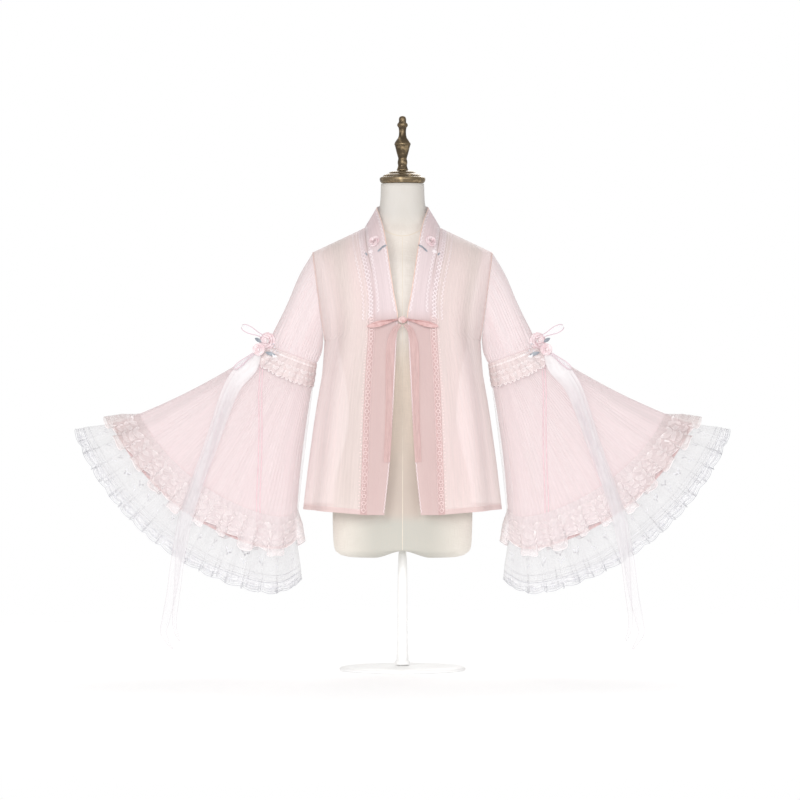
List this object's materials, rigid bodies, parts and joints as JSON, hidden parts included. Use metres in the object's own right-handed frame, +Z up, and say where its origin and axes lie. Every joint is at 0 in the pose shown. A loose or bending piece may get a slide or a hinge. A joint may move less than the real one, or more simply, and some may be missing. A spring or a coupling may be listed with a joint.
{
  "type": "hanfu lolita jacket on a dress form",
  "caption": "Sheer open-front jacket with a band collar, ribbon bow and very wide bell sleeves with lace tiers, worn by a limbless dress form on a plain round stand.",
  "frame": {"origin": "on the floor under the middle of the stand's round base", "axes": "+X to the viewer's right along the spread sleeves, +Y from the jacket's front to its back, +Z up"},
  "size_m": [1.456, 0.3037, 1.232],
  "materials": {
    "linen": "matt woven linen over a firm form",
    "bronze": "dark aged bronze, half gloss",
    "white_paint": "satin white paint",
    "chiffon": "sheer pale pink chiffon, finely crinkled lengthwise",
    "lace": "ivory and pale pink embroidered lace",
    "tulle": "white net",
    "organza": "white organza ribbon, soft sheen",
    "satin": "salmon satin ribbon",
    "rose_ribbon": "pink ribbon, soft sheen",
    "leaf": "grey-blue ribbon, matt"
  },
  "bodies": {
    "root": {"dress_form": "linen", "neck_cap": "bronze", "finial": "bronze", "stand_pole": "white_paint", "stand_base": "white_paint", "back": "chiffon", "front_left": "chiffon", "front_right": "chiffon", "band_left": "chiffon", "band_right": "chiffon", "neck_band": "chiffon", "upper_sleeve_left": "chiffon", "upper_sleeve_right": "chiffon", "bell_left": "chiffon", "bell_right": "chiffon", "braid_left": "lace", "braid_right": "lace", "elbow_frill_left": "lace", "elbow_frill_right": "lace", "lace_tier_left": "lace", "lace_tier_right": "lace", "lace_border_left": "lace", "lace_border_right": "lace", "flounce_left": "tulle", "flounce_right": "tulle", "upper_loop_left": "organza", "upper_loop_right": "organza", "lower_loop_left": "organza", "lower_loop_right": "organza", "outer_tail_left": "organza", "outer_tail_right": "organza", "inner_tail_left": "organza", "inner_tail_right": "organza", "bow_knot": "satin", "bow_loop_left": "satin", "bow_loop_right": "satin", "bow_tail_left": "satin", "bow_tail_right": "satin", "rose_left": "rose_ribbon", "rose_right": "rose_ribbon", "small_rose_left": "rose_ribbon", "small_rose_right": "rose_ribbon", "collar_rose_left": "rose_ribbon", "collar_rose_right": "rose_ribbon", "low_leaf_left": "leaf", "low_leaf_right": "leaf", "high_leaf_left": "leaf", "high_leaf_right": "leaf"}
  },
  "joints": []
}
